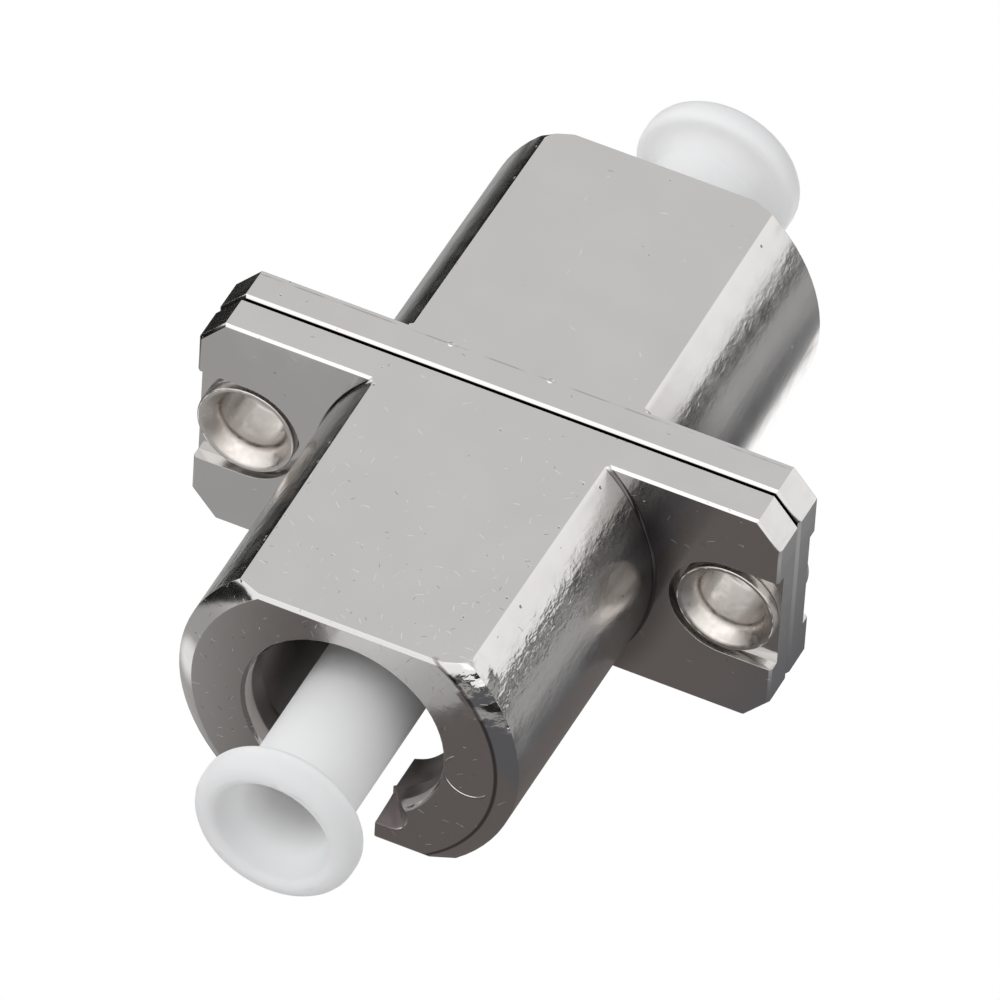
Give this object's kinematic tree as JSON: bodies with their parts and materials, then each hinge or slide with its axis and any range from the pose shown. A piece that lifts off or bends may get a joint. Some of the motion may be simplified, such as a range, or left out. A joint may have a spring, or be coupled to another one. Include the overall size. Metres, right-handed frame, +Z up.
{
  "type": "lc fibre adapter",
  "caption": "Metal fibre adapter: flatted round body in two cast halves with an oblong screw flange, a round port with a latch keyway at each end, and slip-on dust caps.",
  "frame": {"origin": "on the optical axis, in the plane where the two cast halves meet, which is also the centre of the bounding box", "axes": "+X along the flange, +Y along the optical axis towards the rear port, +Z up from the flat that it rests on; the front port faces -Y and both latch keyways are on the -Z side"},
  "size_m": [0.022, 0.0366, 0.0094],
  "materials": {
    "nickel_casting": "zinc die casting, nickel plated, semi-bright with tumbling marks",
    "nickel_eyelet": "pressed hollow rivet, nickel plated, bright",
    "nickel_turned": "turned, nickel plated, satin",
    "zirconia": "ground white zirconia",
    "milky_plastic": "soft milky polyethylene, satin"
  },
  "bodies": {
    "adapter": {"front_shell": "nickel_casting", "rear_shell": "nickel_casting", "left_eyelet": "nickel_eyelet", "right_eyelet": "nickel_eyelet", "front_sleeve_holder": "nickel_turned", "rear_sleeve_holder": "nickel_turned", "split_sleeve": "zirconia"},
    "front_cap": {"front_dust_cap": "milky_plastic"},
    "rear_cap": {"rear_dust_cap": "milky_plastic"}
  },
  "joints": [
    {"name": "front_cap_pull", "type": "slide", "parent": "adapter", "child": "front_cap", "axis": [0, -1, 0], "range_m": [0, 0.015]},
    {"name": "rear_cap_pull", "type": "slide", "parent": "adapter", "child": "rear_cap", "axis": [0, 1, 0], "range_m": [0, 0.015]}
  ]
}
